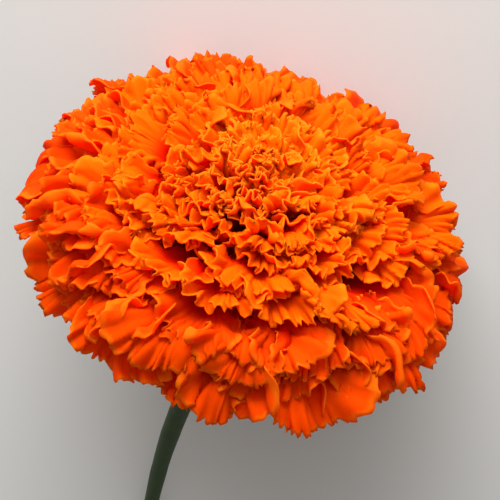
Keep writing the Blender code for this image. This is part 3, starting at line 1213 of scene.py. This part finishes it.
class MARIGOLD_OT_cup(bpy.types.Operator):
    """Builds the green cup that holds the petals"""

    bl_idname = "marigold.cup"
    bl_label = "Cup"

    def execute(self, context):
        settings = context.scene.marigold_greens
        material = cup_material(settings)
        cup = cup_cage(material)
        inputs = {"Rib Depth": settings.rib_depth, "Tooth Depth": settings.cup_tooth_depth, "Material": material}
        add_tree(cup, cup_tree(), inputs)
        thicken(cup, CUP_WALL)
        plain_piece(cup, "involucre", "involucre")
        return {"FINISHED"}


class MARIGOLD_OT_stem(bpy.types.Operator):
    """Builds the stem, with the receptacle at its top and its cut face at its foot"""

    bl_idname = "marigold.stem"
    bl_label = "Stem"

    def execute(self, context):
        settings = context.scene.marigold_greens
        material = stem_material(settings)
        stem = stem_line(material)
        inputs = {
            "Sides": settings.sides,
            "Step": 0.00035,
            "Ridges": float(settings.ridges),
            "Ridge Depth": settings.ridge_depth,
            "Swelling": settings.swelling,
            "Material": material,
        }
        add_tree(stem, stem_tree(), inputs)
        plain_piece(stem, "stem", "stem")
        pith = pith_disc(pith_material(settings))
        thicken(pith, PITH_THICKNESS)
        plain_piece(pith, "stem")
        return {"FINISHED"}


# The stage.

VIEW_FROM_AXIS = math.radians(45.5)
VIEW_ROLL = math.radians(19.5)
VIEW_DISTANCE = 0.45
VIEW_WIDTH = 0.0972
VIEW_SHIFT = (0.0010, -0.0018)
SENSOR = 0.036


def point_at(obj, place, target, up):
    """Puts a camera or lamp at a place, facing a target, with its top towards up."""
    back = unit(np.array(place) - np.array(target))
    right = unit(np.cross(up, back))
    over = np.cross(back, right)
    rotation = np.column_stack([right, over, back])
    obj.matrix_world = Matrix.LocRotScale(place, Matrix(rotation.tolist()), None)


def add_floor():
    material, tree = new_material("Pale floor")
    shader = tree.add(
        "ShaderNodeBsdfPrincipled",
        {},
        {"Base Color": (0.62, 0.62, 0.60, 1.0), "Roughness": 0.85, "Specular IOR Level": 0.2},
    )
    tree.add("ShaderNodeOutputMaterial", {}, {"Surface": shader.outputs[0]})
    mesh = bpy.data.meshes.new("floor")
    work = bmesh.new()
    bmesh.ops.create_grid(work, x_segments=1, y_segments=1, size=1.5)
    work.to_mesh(mesh)
    work.free()
    mesh.materials.append(material)
    floor = bpy.data.objects.new("floor", mesh)
    bpy.context.scene.collection.objects.link(floor)


def add_lamp(name, direction, distance, size, power, up):
    data = bpy.data.lights.new(name, "AREA")
    data.shape = "DISK"
    data.size = size
    data.energy = power
    lamp = bpy.data.objects.new(name, data)
    bpy.context.scene.collection.objects.link(lamp)
    point_at(lamp, CENTRE + unit(np.array(direction)) * distance, CENTRE, up)


def add_camera():
    axis = AXES[2]
    above = unit(UP - axis * axis.dot(UP))
    back = axis * math.cos(VIEW_FROM_AXIS) + above * math.sin(VIEW_FROM_AXIS)
    head_up = unit(axis - back * axis.dot(back))
    top = head_up * math.cos(VIEW_ROLL) - np.cross(head_up, back) * math.sin(VIEW_ROLL)
    right = np.cross(top, back)
    target = CENTRE + right * VIEW_SHIFT[0] + top * VIEW_SHIFT[1]
    data = bpy.data.cameras.new("camera")
    data.sensor_width = SENSOR * 1000
    data.lens = SENSOR * 1000 * VIEW_DISTANCE / VIEW_WIDTH
    data.clip_start = 0.01
    data.clip_end = 20.0
    camera = bpy.data.objects.new("camera", data)
    bpy.context.scene.collection.objects.link(camera)
    point_at(camera, target + back * VIEW_DISTANCE, target, top)
    bpy.context.scene.camera = camera
    return back, top, right


class MARIGOLD_OT_stage(bpy.types.Operator):
    """Adds the floor, the soft lights and the camera"""

    bl_idname = "marigold.stage"
    bl_label = "Stage"

    def execute(self, context):
        add_floor()
        back, top, right = add_camera()
        add_lamp("key_light", top * 1.1 + back * 0.7 - right * 0.1, 0.9, 0.8, 21.5, right)
        add_lamp("fill_light", back + top * 0.5 + right * 0.1, 1.0, 0.8, 2.1, right)
        world = bpy.data.worlds.new("Soft studio")
        context.scene.world = world
        world.use_nodes = True
        tree = Tree(world.node_tree)
        sky = tree.add("ShaderNodeBackground", {}, {"Color": (1.0, 0.98, 0.95, 1.0), "Strength": 0.38})
        tree.add("ShaderNodeOutputWorld", {}, {"Surface": sky.outputs[0]})
        context.scene.view_settings.view_transform = "Standard"
        return {"FINISHED"}


class MARIGOLD_PT_panel(bpy.types.Panel):
    """Lists the bloom's settings and the operators that build it"""

    bl_idname = "MARIGOLD_PT_panel"
    bl_label = "Marigold"
    bl_space_type = "VIEW_3D"
    bl_region_type = "UI"
    bl_category = "Marigold"

    def draw(self, context):
        for settings in (context.scene.marigold_petals, context.scene.marigold_greens):
            box = self.layout.box()
            for name in settings.__annotations__:
                box.prop(settings, name)
        for operator in OPERATORS:
            self.layout.operator(operator.bl_idname)


OPERATORS = (MARIGOLD_OT_petals, MARIGOLD_OT_between, MARIGOLD_OT_cup, MARIGOLD_OT_stem, MARIGOLD_OT_stage)
CLASSES = (PetalSettings, GreenSettings, *OPERATORS, MARIGOLD_PT_panel)


def register():
    for its_class in CLASSES:
        bpy.utils.register_class(its_class)
    bpy.types.Scene.marigold_petals = bpy.props.PointerProperty(type=PetalSettings)
    bpy.types.Scene.marigold_greens = bpy.props.PointerProperty(type=GreenSettings)


def unregister():
    del bpy.types.Scene.marigold_petals
    del bpy.types.Scene.marigold_greens
    for its_class in reversed(CLASSES):
        bpy.utils.unregister_class(its_class)


def main():
    register()
    bpy.ops.marigold.petals()
    bpy.ops.marigold.between()
    bpy.ops.marigold.cup()
    bpy.ops.marigold.stem()
    bpy.ops.marigold.stage()


if __name__ == "__main__":
    main()
